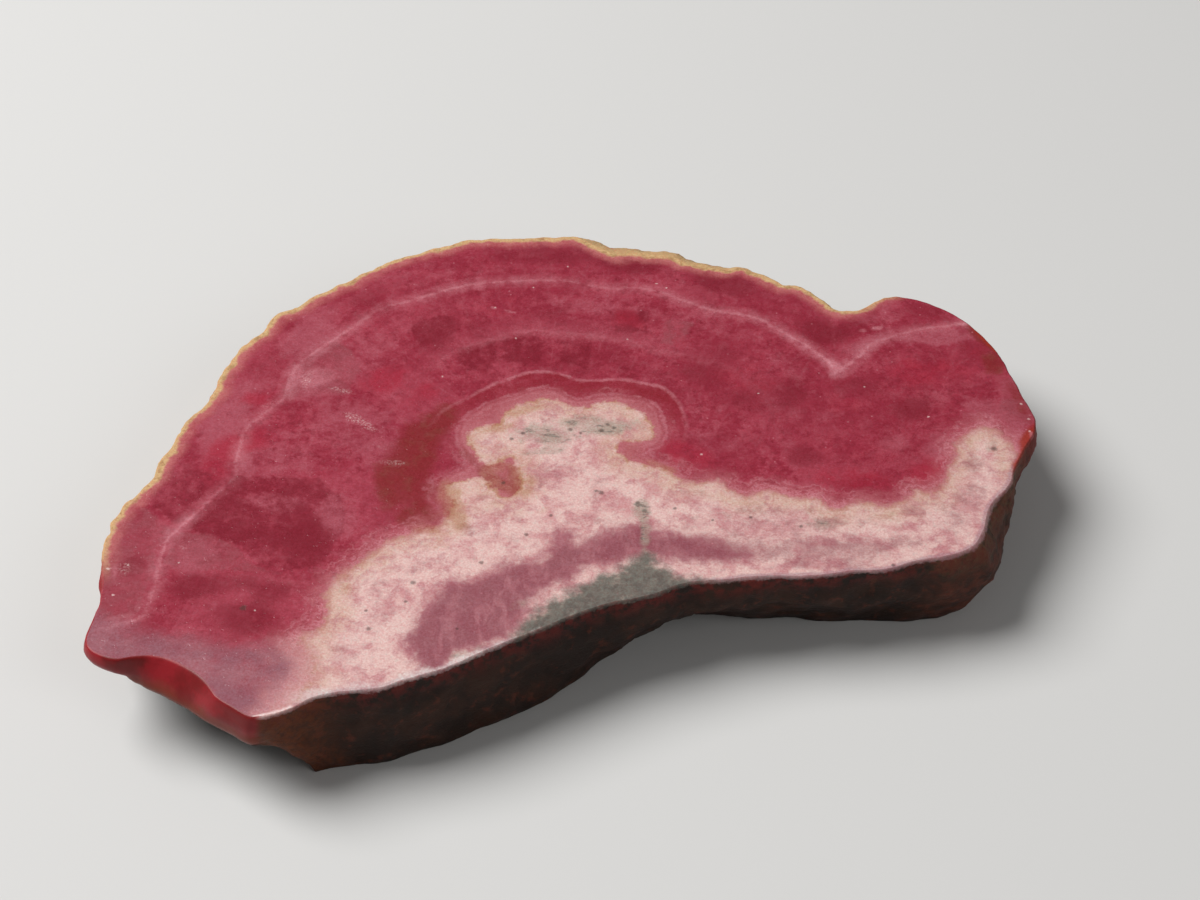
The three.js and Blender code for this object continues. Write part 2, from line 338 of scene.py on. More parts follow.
        (-20.8, -0.2, 0.5, 2.0, 3, 0.8), (-15.8, -17.6, 1.2, 1.6, 0, 0.6), (-18.4, 10.2, 2.2, 1.6, 45, 0.7),
        (-17.0, 5.6, 1.8, 1.4, 0, 0.5),
    ],
    "crimson": [
        (21.6, 7.4, 2.6, 1.6, 10, 0.55), (25.6, 8.6, 1.8, 2.4, -25, 0.4), (3.1, 12.5, 1.3, 1.1, 0, 0.6),
        (5.8, 11.2, 1.4, 1.6, 0, 0.3), (17.6, 0.2, 4.8, 2.4, 0, 0.25), (16.6, -2.4, 3.2, 0.9, -8, 0.5),
        (6.4, -0.2, 2.2, 1.2, -20, 0.6), (-20.8, 1.0, 1.6, 1.2, 20, 0.7), (-12.6, 6.8, 1.8, 1.2, 30, 0.7),
        (21.4, -1.6, 1.8, 1.2, 30, 0.6), (-5.4, 13.6, 3.0, 1.4, 15, 0.3), (-22.4, -0.6, 1.0, 2.0, -10, 0.6),
        (10.6, 7.0, 2.4, 1.6, -30, 0.4), (16.4, 4.4, 1.6, 1.0, 0, 0.4), (-10.0, 5.4, 1.4, 1.0, 40, 0.6),
        (-20.8, 4.9, 1.2, 0.8, 0, 0.7),
    ],
    "brown": [
        (-10.2, 0.6, 1.6, 3.0, -12, 1.0), (-9.8, -3.6, 1.1, 1.8, 10, 0.8), (-11.2, -1.6, 1.4, 2.0, 0, 0.7),
        (-8.6, 3.2, 1.0, 1.6, -35, 0.8), (-11.7, -3.0, 1.1, 2.2, 0, 0.9), (-7.0, -0.4, 0.35, 0.9, 25, 0.9),
        (-6.0, -1.7, 0.4, 0.8, 35, 1.0), (-5.1, -2.8, 0.5, 0.8, 40, 1.0), (-4.2, -2.2, 0.4, 1.1, 0, 0.9),
        (-9.9, -5.6, 1.3, 0.9, 0, 1.0), (26.5, 8.2, 0.9, 1.3, 0, 1.0), (26.0, 10.9, 0.5, 2.0, 32, 1.0),
        (27.7, 4.7, 0.6, 2.0, 10, 0.6),
    ],
    "ochre": [
        (-7.6, -5.4, 0.9, 1.4, 15, 1.0), (-8.0, -3.4, 0.6, 0.8, 0, 0.9), (-9.4, -6.6, 1.2, 0.5, -15, 0.7),
        (-3.6, 3.9, 1.7, 0.6, 22, 0.9), (-5.4, 2.2, 1.2, 0.5, 15, 0.7), (-3.3, -3.0, 0.5, 1.1, -10, 0.8),
        (4.9, -1.3, 1.5, 0.5, -25, 0.8), (-13.9, -10.8, 0.6, 1.6, 15, 0.5), (-6.9, 1.2, 0.4, 0.9, -10, 0.6),
        (-2.4, -4.9, 0.8, 0.3, 5, 0.5), (10.0, -4.5, 1.4, 0.4, 5, 0.45), (18.6, -5.4, 1.6, 0.4, 5, 0.45),
        (24.0, 0.6, 0.5, 1.0, 20, 0.5), (-0.6, -1.0, 0.8, 0.3, 0, 0.4), (2.4, -0.4, 0.9, 0.4, 0, 0.5),
        (-12.6, -9.4, 1.2, 0.5, 30, 0.5), (14.6, -5.2, 1.6, 0.4, 0, 0.4), (-9.9, -5.2, 1.0, 0.8, 0, 0.9),
        (-8.5, -3.6, 0.6, 1.6, 0, 0.9), (-8.6, -7.8, 1.0, 0.5, 0, 0.5), (21.6, -3.0, 1.0, 0.5, 30, 0.4),
        (-4.7, -2.3, 1.2, 1.7, 20, 1.0), (-5.8, -1.6, 0.9, 0.5, -40, 0.8), (-5.6, 1.0, 1.2, 1.0, 0, 0.35),
        (3.2, 0.5, 1.0, 0.6, 0, 0.5),
    ],
    "grey": [
        (-2.6, 1.5, 2.0, 0.8, -8, 0.9), (1.6, 2.2, 2.2, 0.6, 6, 0.95), (-2.2, 0.2, 1.6, 0.35, 8, 0.7),
        (3.6, -4.9, 0.9, 0.5, 75, 0.9), (3.85, -6.6, 2.4, 0.45, 91, 1.0), (13.4, -6.1, 1.8, 0.7, 0, 0.5),
        (-6.1, -16.2, 1.2, 0.5, 25, 0.6), (-10.4, -18.3, 1.4, 0.5, 10, 0.4), (25.4, 0.4, 0.6, 0.9, 0, 0.5),
        (-0.4, 2.8, 1.6, 0.5, 10, 0.6), (19.0, -6.5, 1.4, 0.5, 10, 0.35), (8.0, -5.4, 2.0, 0.6, 0, 0.4),
        (-3.6, -12.8, 1.0, 0.4, 30, 0.5), (-8.0, -17.2, 1.6, 0.4, 25, 0.4), (-0.6, 2.2, 4.0, 1.6, -4, 0.4),
    ],
    "rosePatch": [
        (7.6, -8.2, 3.4, 0.9, -6, 0.9), (14.6, -8.3, 5.4, 0.9, 2, 0.9), (18.8, -7.8, 1.6, 0.6, 10, 0.5),
        (22.4, -6.0, 1.4, 0.9, 40, 0.6), (23.6, -3.6, 1.2, 1.4, -20, 0.72), (24.3, -1.0, 0.8, 0.9, 0, 0.7),
        (12.0, -5.6, 5.0, 0.9, 0, 0.4), (-1.6, -1.6, 1.8, 0.8, 0, 0.6), (1.0, -3.2, 0.7, 1.1, 0, 0.5),
        (-6.4, -6.6, 1.4, 0.6, -25, 0.6), (-11.6, -13.4, 1.0, 1.4, 0, 0.45),
        (-13.4, -16.6, 1.2, 0.9, 0, 0.6), (-2.8, -2.6, 1.2, 0.6, 10, 0.55), (3.7, 0.0, 0.9, 0.5, -50, 0.7),
        (-9.4, -9.4, 1.5, 0.7, 25, 0.45), (-12.0, -11.0, 0.7, 1.2, 10, 0.4), (-6.6, -4.6, 1.4, 0.8, 0, 0.45),
        (0.6, -5.8, 1.8, 0.6, 0, 0.5), (-4.4, -7.6, 1.4, 0.6, 25, 0.4), (20.8, -5.0, 1.6, 0.7, 15, 0.4),
        (6.6, -3.6, 1.2, 0.4, 0, 0.5), (10.6, -6.6, 5.6, 2.0, 0, 0.35), (19.0, -6.4, 5.0, 1.8, 8, 0.2),
        (1.6, 3.4, 2.0, 1.2, 0, 0.25), (14.8, -9.5, 3.6, 0.6, 3, 0.8),
    ],
    # soft pale smears
    "pale": [
        (16.3, 7.6, 0.35, 0.9, -10, 1.0), (15.9, 8.3, 0.5, 0.3, -35, 0.7), (24.9, 12.3, 0.6, 0.3, 10, 0.9),
        (18.3, 11.5, 0.4, 0.2, 0, 0.7), (19.4, 11.75, 0.5, 0.3, 0, 0.9), (-17.2, 6.8, 1.6, 1.3, 20, 0.65),
        (-5.9, 13.7, 0.25, 0.2, 0, 0.7), (-4.7, 13.4, 0.6, 0.16, -15, 0.8), (-18.6, 5.6, 0.3, 1.2, 0, 0.5),
        (28.1, 1.6, 0.16, 0.5, 20, 0.9), (28.2, 3.6, 0.14, 0.3, 0, 0.8), (-26.6, -13.9, 1.4, 0.2, 15, 0.5),
        (-27.4, -10.2, 0.2, 0.8, 0, 0.6),
    ],
    # rubbed places on the polish, with tiny painted glints of reflected light in them
    "scuffGlint": [
        (-15.6, 5.6, 1.1, 0.25, -14, 0.9), (-14.4, 3.1, 1.0, 0.3, -28, 0.9),
        (-13.4, 2.4, 0.7, 0.3, -35, 0.9), (-11.7, -0.9, 0.8, 0.3, -10, 0.9),
        (-17.6, 6.6, 0.3, 1.0, -10, 0.6), (-26.9, -10.0, 0.4, 0.7, 0, 0.6), (-23.6, -8.2, 0.4, 1.0, 20, 0.4),
        (-12.6, 0.4, 0.5, 0.14, -30, 0.7), (-19.8, 4.4, 0.9, 0.12, 30, 0.5),
    ],
    # along the broken front, where the core comes to the edge white, partly painted sheen along that edge
    "rimWhite": [
        (-15.2, -19.6, 1.6, 0.6, 12, 0.8), (-12.2, -19.0, 1.8, 0.45, 8, 0.6),
        (-9.4, -18.2, 1.6, 0.5, 22, 0.9), (-6.4, -16.9, 1.6, 0.45, 28, 0.9),
        (-4.4, -15.7, 1.0, 0.35, 30, 0.7), (-2.6, -14.7, 0.8, 0.2, 30, 0.4),
    ],
    # orange-brown round the rim of the right end
    "rimBrown": [
        (28.2, 5.4, 0.2, 2.8, 8, 0.6), (26.4, 10.4, 0.3, 2.6, 30, 0.8), (28.1, 1.0, 0.8, 1.6, -22, 1.0),
        (27.4, -1.0, 0.7, 1.8, -26, 1.0), (25.6, -4.2, 0.35, 1.2, -30, 0.7),
    ],
    # a painted glint: a bright line of reflected light along the front left edge
    "glint": [(-18.15, -21.2), (-17.5, -21.0), (-16.8, -20.75), (-16.1, -20.4)],
    # each: x, y, radius
    "darkSpecks": [
        (-4.4, 1.2, 0.2), (-3.7, 1.7, 0.22), (-0.75, 2.05, 0.24), (1.2, 1.95, 0.26), (1.6, 2.5, 0.18),
        (1.2, -3.55, 0.26), (0.9, -3.4, 0.18), (3.8, -5.1, 0.26), (5.65, -4.9, 0.18), (-3.3, -7.1, 0.2),
        (-1.85, -5.5, 0.18), (-4.8, -2.7, 0.2), (-9.85, -11.0, 0.24), (-5.9, -9.4, 0.22),
        (-12.2, -14.6, 0.22), (-12.45, -13.2, 0.15), (-10.2, -12.5, 0.16), (25.6, 0.3, 0.3),
        (18.45, -9.6, 0.2), (10.2, -5.65, 0.16), (2.0, 2.2, 0.2), (-19.6, -13.0, 0.3), (7.9, -5.9, 0.14),
        (13.2, -6.4, 0.18), (-0.1, 1.7, 0.16), (3.4, -4.4, 0.2), (-7.1, -14.6, 0.14),
    ],
    # painted sparkles: bright specks of the glint colour where light catches small crystal faces
    "glintSpecks": [
        (-5.85, 13.8, 0.14), (-3.35, 15.85, 0.12), (4.9, 16.25, 0.14), (5.55, 15.8, 0.14),
        (-1.05, 18.05, 0.12), (-4.4, 10.7, 0.12), (2.9, 10.6, 0.12), (18.0, 6.0, 0.12), (-26.8, -9.6, 0.15),
        (-27.9, -9.9, 0.2), (-27.3, -12.0, 0.15), (1.9, 1.2, 0.14), (5.9, -3.3, 0.16), (7.4, -0.2, 0.14),
        (27.8, 4.4, 0.16), (28.1, 3.0, 0.16), (28.0, 1.9, 0.14), (28.1, 1.0, 0.12), (21.8, 3.2, 0.13),
        (11.2, 5.4, 0.12), (-9.0, 7.0, 0.12), (-18.9, -13.2, 0.12), (-23.8, -9.4, 0.12),
    ],
}


stone = {
    "heart": (0.99, -1.19),  # the whole edge can be seen from this point of the plan
    "columns": 800,  # round the wall
    "rows": 28,  # down the wall
    "upperGrid": 0.25,
    "lowerGrid": 0.5,
    "arris": 0.1,  # how far the sawn edges are worn
    "inset": 0.02,  # how far inside a cut the wall beside it is measured
    "rounding": 1.6,  # columns over which the measured wall is smoothed
    "rindFrom": 39.0,  # degrees round the heart, anticlockwise from +X
    "rindTo": 196.0,
    "tipFrom": 204.0,  # from here the end is broken clean, with the chip beyond it
    "chipTo": 226.5,
    "knobs": ((1.9, 0.5), (0.8, 0.18)),  # size and height of the rind's knobs
    "breaks": ((3.4, 0.5), (1.3, 0.22), (0.45, 0.07)),  # the same for the broken wall
    "speckRings": ((0.55, 6), (1.1, 9)),
}


def wallReach(cadMesh, angles, heights):
    # how far the wall of the frame's solid is from the heart, for each height and angle
    solid = BVHTree.FromPolygons([v.co for v in cadMesh.vertices], [p.vertices for p in cadMesh.polygons])
    reach = np.zeros((len(heights), len(angles)))
    for row, height in enumerate(heights):
        heart = Vector((stone["heart"][0] * mm, stone["heart"][1] * mm, boxLow[2] + height * mm))
        for column, angle in enumerate(angles):
            hit = solid.ray_cast(heart, Vector((math.cos(angle), math.sin(angle), 0)))
            reach[row, column] = hit[3] / mm
    return reach


def evenAngles(cadMesh, count):
    # angles that step evenly along the upper edge
    angles = np.linspace(0, 2 * math.pi, 3001)
    reach = wallReach(cadMesh, angles, [sliceHeight - stone["inset"]])[0]
    steps = np.hypot(np.diff(reach * np.cos(angles)), np.diff(reach * np.sin(angles)))
    travelled = np.concatenate([[0], np.cumsum(steps)])
    return np.interp(np.arange(count) / count * travelled[-1], travelled, angles)


def roundOff(values, width):
    # smooths along the rows of a closed ring of columns
    shifts = np.arange(-4, 5)
    weights = np.exp(-(shifts**2) / (2 * width**2))
    weights /= weights.sum()
    return sum(weight * np.roll(values, shift, -1) for weight, shift in zip(weights, shifts))


def knobbly(place):
    # rounded knobs side by side, as on a rind of grown crystals
    rise = 0
    for size, height in stone["knobs"]:
        near = noise.voronoi(place / size)[0][0]
        rise += height * (0.55 - min(1, near * 1.25) ** 2)
    return rise + 0.06 * noise.noise(place / 0.3)


def hackly(place):
    # ridges and steps of a broken face
    rise = 0
    for size, height in stone["breaks"]:
        ridge = 0.5 - abs(noise.noise(place / size * 1.7))
        rise += height * (0.9 * noise.noise(place / size) + 0.5 * ridge)
    return rise


def scooped(place):
    # the shell-like ripples of a chip
    ripple = math.sin(place.length * 3.1)
    return 0.09 * noise.noise(place / 1.9) + 0.025 * ripple + 0.02 * noise.noise(place / 0.6)


def wallKinds(degrees):
    # how much rind, chip and broken wall there is at each angle round the heart
    degrees = np.mod(degrees, 360)
    rind = smoothStep(degrees, stone["rindFrom"] - 2, stone["rindFrom"] + 2)
    rind *= 1 - smoothStep(degrees, stone["rindTo"] - 5, stone["rindTo"] + 4)
    chip = smoothStep(degrees, stone["tipFrom"] - 2, stone["tipFrom"] + 1)
    chip *= 1 - smoothStep(degrees, stone["chipTo"] - 1, stone["chipTo"] + 2)
    return rind, chip, np.maximum(1 - rind - chip, 0)


def wallPoints(cadMesh):
    # a grid of points, rows from the upper cut down, columns round the wall
    angles = evenAngles(cadMesh, stone["columns"])
    arris = stone["arris"]
    between = np.linspace(arris, sliceHeight - arris, stone["rows"])
    depths = np.concatenate([[0, arris * 0.3], between, [sliceHeight - arris * 0.3, sliceHeight]])
    tuckedIn = np.zeros(len(depths))
    tuckedIn[[0, -1]] = arris
    tuckedIn[[1, -2]] = arris * 0.3
    heights = np.clip(sliceHeight - depths, stone["inset"], sliceHeight - stone["inset"])
    reach = roundOff(wallReach(cadMesh, angles, heights), stone["rounding"])
    x = stone["heart"][0] + reach * np.cos(angles)
    y = stone["heart"][1] + reach * np.sin(angles)
    alongX = np.roll(x, -2, 1) - np.roll(x, 2, 1)
    alongY = np.roll(y, -2, 1) - np.roll(y, 2, 1)
    length = np.hypot(alongX, alongY)
    outX, outY = alongY / length, -alongX / length
    rind, chip, broken = wallKinds(np.degrees(angles))
    points = np.zeros((len(depths), len(angles), 3))
    for row, depth in enumerate(depths):
        deeper = smoothStep(depth, 0.0, 0.9)
        # the sawn edges keep close to the drawn outline
        held = (0.28 + 0.42 * rind) * (1 - deeper) + deeper
        held *= 0.35 + 0.65 * smoothStep(sliceHeight - depth, 0.0, 0.8)
        for column in range(len(angles)):
            place = Vector((x[row, column], y[row, column], sliceHeight - depth))
            rise = 0
            for share, relief in ((rind, knobbly), (chip, scooped), (broken, hackly)):
                if share[column] > 0:
                    rise += share[column] * relief(place)
            rise = rise * held[column] - tuckedIn[row]
            points[row, column] = (
                place.x + outX[row, column] * rise,
                place.y + outY[row, column] * rise,
                place.z,
            )
    return points


def capGrid(ring, spacing, specks):
    # points that fill a cut, with a few more round each speck so that it stays sharp
    rowStep = spacing * math.sqrt(3) / 2
    low, high = ring.min(0), ring.max(0)
    rows = []
    for index, y in enumerate(np.arange(low[1], high[1], rowStep)):
        x = np.arange(low[0], high[0], spacing) + spacing / 2 * (index % 2)
        rows.append(np.stack([x, np.full(len(x), y)], 1))
    spread = np.vstack(rows)
    around = []
    for x, y, radius in specks:
        around.append((x, y))
        for share, count in stone["speckRings"]:
            for turn in np.arange(count) * 2 * math.pi / count:
                around.append((x + radius * share * math.cos(turn), y + radius * share * math.sin(turn)))
    if around:
        spread = np.vstack([spread, np.array(around) + marks["shift"]])
    spread = spread[isInside(spread, ring)]
    return spread[nearest(spread, ring, closed=True)[0] > spacing * 0.45]


def fillCap(ring, inner):
    # triangles over a ring and the points inside it, numbered ring first
    corners = [Vector(p) for p in np.vstack([ring, inner])]
    edges = [(i, (i + 1) % len(ring)) for i in range(len(ring))]
    made = delaunay_2d_cdt(corners, edges, [], 1, 1e-7)
    source = [origin[0] for origin in made[3]]
    return [tuple(source[i] for i in face) for face in made[2]]


def buildStone(cadMesh):
    walls = wallPoints(cadMesh)
    rowCount, columnCount = walls.shape[:2]
    specks = marks["darkSpecks"] + marks["glintSpecks"]
    upperInner = capGrid(walls[0, :, :2], stone["upperGrid"], specks)
    lowerInner = capGrid(walls[-1, :, :2], stone["lowerGrid"], [])
    upper = np.column_stack([upperInner, np.full(len(upperInner), sliceHeight)])
    lower = np.column_stack([lowerInner, np.zeros(len(lowerInner))])
    points = np.vstack([walls.reshape(-1, 3), upper, lower])

    faces, kinds = [], []
    innerStart = rowCount * columnCount
    for kind, row, inner in (("upper", 0, upperInner), ("lower", rowCount - 1, lowerInner)):
        ringStart = row * columnCount
        for face in fillCap(walls[row, :, :2], inner):
            turned = face if kind == "upper" else face[::-1]
            faces.append([i + (ringStart if i < columnCount else innerStart - columnCount) for i in turned])
            kinds.append(kind)
        innerStart += len(inner)
    for row in range(rowCount - 1):
        for column in range(columnCount):
            after = (column + 1) % columnCount
            top, bottom = row * columnCount, (row + 1) * columnCount
            faces.append([top + column, bottom + column, bottom + after, top + after])
            kinds.append("wall")

    mesh = bpy.data.meshes.new("rhodochrosite_stone")
    level = np.array([0, 0, boxLow[2]])
    mesh.from_pydata((points * mm + level).tolist(), [], faces)
    isWall = np.array([kind == "wall" for kind in kinds])
    mesh.polygons.foreach_set("material_index", isWall.astype(int))
    mesh.polygons.foreach_set("use_smooth", isWall)
    layFlat(mesh, points, kinds, walls)
    return mesh, points, walls


# where the two cuts and the wall lie when the surface is laid out flat: corner, then size per mm
flatLayout = {
    "upper": (0.008, 0.006, 0.01715),
    "lower": (0.008, 0.762, 0.0053),
    "wall": (0.335, 0.762, 0.0115, 0.0118),
    "strips": 3,
    "stripStep": 0.08,
}


def layFlat(mesh, points, kinds, walls):
    layer = mesh.uv_layers.new(name="OFBake")
    columnCount = walls.shape[1]
    corner = points[:, :2].min(0)
    flat = np.zeros((len(mesh.loops), 2))
    wallX, wallY, wallWide, wallHigh = flatLayout["wall"]
    perimeter = np.linalg.norm(np.diff(walls[0, :, :2], axis=0), axis=1).sum()
    columnStep = perimeter / columnCount * wallWide
    stripColumns = math.ceil(columnCount / flatLayout["strips"])
    place = 0
    for face, kind in zip(mesh.polygons, kinds):
        indices = list(face.vertices)
        if kind == "wall":
            first = indices[0] % columnCount
            strip = first // stripColumns
            for offset, index in enumerate(indices):
                across = first - strip * stripColumns + (offset >= 2)
                up = wallY + strip * flatLayout["stripStep"] + points[index, 2] * wallHigh
                flat[place + offset] = (wallX + across * columnStep, up)
        else:
            x, y, size = flatLayout[kind]
            flat[place : place + len(indices)] = (points[indices, :2] - corner) * size + (x, y)
        place += len(indices)
    layer.data.foreach_set("uv", flat.ravel())


def wavered(places, amount, size):
    # the places moved about a little, so that nothing drawn stays too even
    moved = places.copy()
    for index, (x, y) in enumerate(places):
        near = noise.noise_vector(Vector((x / size, y / size, 3.7)))
        fine = noise.noise_vector(Vector((x / size * 3, y / size * 3, 9.1)))
        moved[index] += (amount * (near.x + 0.4 * fine.x), amount * (near.y + 0.4 * fine.y))
    return moved


def patchMask(places, patches):
    clear = np.ones(len(places))
    for x, y, halfLength, halfWidth, turn, strength in patches:
        apartX, apartY = (places - (x, y) - marks["shift"]).T
        alongX, alongY = math.cos(math.radians(turn)), math.sin(math.radians(turn))
        along = (apartX * alongX + apartY * alongY) / halfLength
        across = (apartY * alongX - apartX * alongY) / halfWidth
        clear *= 1 - strength * (1 - smoothStep(np.hypot(along, across), 0.35, 1.55))
    return 1 - clear


def speckMask(places, specks):
    mask = np.zeros(len(places))
    for x, y, radius in specks:
        apart = np.hypot(*(places - (x, y) - marks["shift"]).T)
        mask = np.maximum(mask, 1 - np.clip(apart / (radius * 1.25), 0, 1))
    return mask


def signedGap(places, outline):
    # distance to a closed outline, negative inside
    gap = nearest(places, outline, closed=True)[0]
    return np.where(isInside(places, outline), -gap, gap)


def pauseGap(places, pause):
    # distance to an open line, negative on its inner side, and how strongly the line shows there
    line = smoothThrough(pause["points"])
    gap, share = nearest(places, line)
    closing = np.vstack([line, np.array(pause["around"], float)])
    shows = np.interp(share, *zip(*pause["shows"]))
    return np.where(isInside(places, closing), -gap, gap), shows


# three to a layer, as the shaders read them
fieldNames = {
    "pauses": ("outer", "middle", "inner"),
    "pauseShows": ("outerShows", "middleShows", "innerShows"),
    "coreEdge": ("core", "halo", "haloShows"),
    "coreBands": ("roseBand", "greyPatch", "sheenVeil"),
    "growth": ("rim", "age", "depth"),
    "wallKind": ("rind", "chip", "alongFront"),
    "blocks": ("deepBlock", "dustyBlock", "glint"),
    "bodyTones": ("deep", "dusty", "crimson"),
    "stains": ("brown", "ochre", "grey"),
    "smears": ("rosePatch", "pale", "scuffGlint"),
    "rims": ("rimWhite", "rimBrown", "speck"),
}


def writeFields(mesh, points, walls):
    wallCount = walls.shape[0] * walls.shape[1]
    places = points[:, :2]
    loose = wavered(places, *marks["looseWaver"])
    steady = wavered(places, *marks["blockWaver"])
    found = {}
    for name in ("outer", "middle", "inner"):
        found[name], found[name + "Shows"] = pauseGap(places, marks[name + "Pause"])
    found["halo"], found["haloShows"] = pauseGap(places, marks["coreHalo"])
    found["core"] = signedGap(places, smoothThrough(marks["core"], closed=True))
    for name in ("roseBand", "greyPatch", "sheenVeil"):
        found[name] = signedGap(loose, smoothThrough(marks[name], closed=True))
    for name in ("deepBlock", "dustyBlock"):
        blocks = [np.array(block) + marks["shift"] for block in marks[name + "s"]]
        found[name] = np.min([signedGap(steady, block) for block in blocks], axis=0)
    for layerName in ("bodyTones", "stains", "smears"):
        for name in fieldNames[layerName]:
            found[name] = patchMask(loose, marks[name])
    for name in ("rimWhite", "rimBrown"):
        found[name] = patchMask(places, marks[name])
    found["glint"] = nearest(places, smoothThrough(marks["glint"]))[0]
    # bright specks, which are painted sparkles, count up; the real dark specks count down
    found["speck"] = speckMask(places, marks["glintSpecks"]) - speckMask(places, marks["darkSpecks"])

    rim = np.zeros(len(points))
    isUpper = points[:, 2] > sliceHeight / 2
    for ring, chosen in ((walls[0], isUpper), (walls[-1], ~isUpper)):
        chosen = chosen & (np.arange(len(points)) >= wallCount)
        rim[chosen] = nearest(places[chosen], ring[:, :2], closed=True)[0]
    found["rim"] = rim
    found["depth"] = sliceHeight - points[:, 2]

    # 0 at the core, 1 at the outer pause, 2 at the rim
    coreGap, outerGap = np.maximum(found["core"], 0), np.abs(found["outer"])
    tiny = 0.01  # so that nothing is divided by zero
    before = coreGap / (coreGap + outerGap + tiny)
    after = 1 + outerGap / (outerGap + rim + tiny)
    found["age"] = np.where(found["outer"] < 0, before, after)
    front = smoothThrough(marks["front"])
    frontLength = np.linalg.norm(np.diff(front, axis=0), axis=1).sum()
    found["alongFront"] = nearest(places, front)[1] * frontLength

    away = places - np.array(stone["heart"])
    found["rind"], found["chip"], _ = wallKinds(np.degrees(np.arctan2(away[:, 1], away[:, 0])))
    for layerName, names in fieldNames.items():
        layer = mesh.attributes.new(layerName, "FLOAT_VECTOR", "POINT")
        values = np.column_stack([found[name] for name in names])
        layer.data.foreach_set("vector", values.astype(np.float32).ravel())


class Wiring:
    # short ways to add nodes to one tree and join them; its fields, clouds and colours go by name

    def __init__(self, tree, look=()):
        self.tree = tree
        self.tones = {name: colour(*value) for name, value in dict(look).items() if isinstance(value, tuple)}
        self.named = {}

    def add(self, kind, sockets=(), **settings):
        made = self.tree.nodes.new("ShaderNode" + kind)
        for name, value in settings.items():
            setattr(made, name, value)
        for name, value in dict(sockets).items():
            self.join(value, made.inputs[name])
        return made

    def join(self, value, socket):
        if isinstance(value, str):
            value = self.named[value]
        if isinstance(value, bpy.types.NodeSocket):
            self.tree.links.new(value, socket)
        else:
            socket.default_value = value

    def calc(self, operation, *values):
        return self.add("Math", enumerate(values), operation=operation).outputs[0]

    def product(self, *values):
        result = values[0]
        for value in values[1:]:
            result = self.calc("MULTIPLY", result, value)
        return result

    def step(self, value, start, end, low=0.0, high=1.0):
        sockets = {"Value": value, "From Min": start, "From Max": end, "To Min": low, "To Max": high}
        return self.add("MapRange", sockets, interpolation_type="SMOOTHSTEP").outputs[0]

    def stripe(self, gap, half, soft):
        # a line where the gap is near zero
        return self.step(self.calc("ABSOLUTE", gap), half, half + soft, 1.0, 0.0)

    def point(self, *values):
        return self.add("CombineXYZ", enumerate(values)).outputs[0]

    def cloud(self, place, size, detail, rough, warp=0.0):
        sockets = {"Vector": place, "Scale": 1 / size, "Detail": detail, "Roughness": rough}
        sockets["Distortion"] = warp
        return self.add("TexNoise", sockets).outputs[0]

    def streaks(self, place, turn, along, across, *grain):
        # a cloud drawn out along one direction
        sockets = {"Vector": place, "Rotation": (0, 0, turn), "Scale": (along, across, 1.0)}
        return self.cloud(self.add("Mapping", sockets).outputs[0], *grain)

    def raised(self, base, *parts):
        # more of each part added to a base
        for value, amount in parts:
            base = self.calc("MULTIPLY_ADD", value, amount, base)
        return base

    def shifted(self, gap, **wavers):
        # the gap moved about by clouds, each named with its amount
        for name, amount in wavers.items():
            gap = self.raised(gap, (self.calc("SUBTRACT", name, 0.5), amount))
        return gap

    def ragged(self, mask, waver, start, end, strength):
        # a patch with a torn edge
        torn = self.shifted(0.0, mottle=1.3, small=0.5)
        return self.product(self.step(self.raised(mask, (torn, waver)), start, end), strength)

    def blend(self, amount, first, second, way="MIX"):
        first, second = (self.tones[tone] if isinstance(tone, str) else tone for tone in (first, second))
        mixed = self.add("Mix", {0: amount, 6: first, 7: second}, data_type="RGBA", blend_type=way)
        return mixed.outputs[2]

    def layered(self, result, *layers):
        # colours laid over each other, each where a value rises from start to end
        for value, start, end, strength, tone in layers:
            result = self.blend(self.product(self.step(value, start, end), strength), result, tone)
        return result

    def takeFields(self, *layerNames):
        # each layer of the mesh holds three fields
        for layerName in layerNames:
            layer = self.add("Attribute", attribute_name=layerName)
            parts = self.add("SeparateXYZ", {0: layer.outputs["Vector"]}).outputs
            self.named.update(zip(fieldNames[layerName], parts))


palette = {
    "deepRaspberry": (139, 38, 55),
    "raspberry": (153, 49, 66),
    "dustyRose": (167, 72, 86),
    "crimson": (158, 34, 54),
    "deepTone": (119, 27, 41),
    "dustyTone": (165, 82, 94),
    "mauve": (148, 76, 84),
    "brownRed": (124, 35, 36),
    "brown": (118, 50, 38),
    "rust": (142, 64, 50),
    "tan": (168, 112, 94),
    # the colour of the painted sheen over the front left
    "sheenVeil": (141, 88, 98),
    "pause": (202, 132, 141),
    "redRing": (133, 33, 43),
    "haloDeep": (166, 86, 94),
    "halo": (180, 106, 112),
    "coreCream": (196, 158, 139),
    "corePink": (198, 144, 144),
    "coreWhite": (217, 180, 174),
    "coreRose": (176, 112, 118),
    "coreGrey": (158, 142, 129),
    "ochre": (168, 120, 84),
    "rose": (138, 72, 83),
    "roseLight": (170, 106, 114),
    "greyGreen": (100, 99, 90),
    "greyDark": (74, 74, 68),
    # white at the front edge, partly painted sheen
    "frontWhite": (214, 196, 192),
    "frontLilac": (158, 122, 130),
    "rimBrown": (146, 46, 29),
    "crust": (196, 158, 112),
    "crustDark": (150, 110, 70),
    "underCrust": (184, 106, 104),
    "speck": (70, 56, 50),
    # the colour of the painted glints and sparkles
    "glint": (232, 204, 200),
}


def takeClouds(net, place):
    # noises shared by all the markings
    aside = net.add("VectorMath", {0: place, 1: (31.0, 7.0, 5.0)}, operation="ADD").outputs[0]
    net.named.update(
        broad=net.cloud(place, 3.2, 4, 0.6),
        mottle=net.cloud(place, 1.0, 4, 0.62),
        other=net.cloud(aside, 0.75, 4, 0.6),
        small=net.cloud(place, 0.42, 3, 0.6),
        crumb=net.cloud(aside, 0.24, 3, 0.62),
        grain=net.cloud(place, 0.13, 2, 0.6),
    )


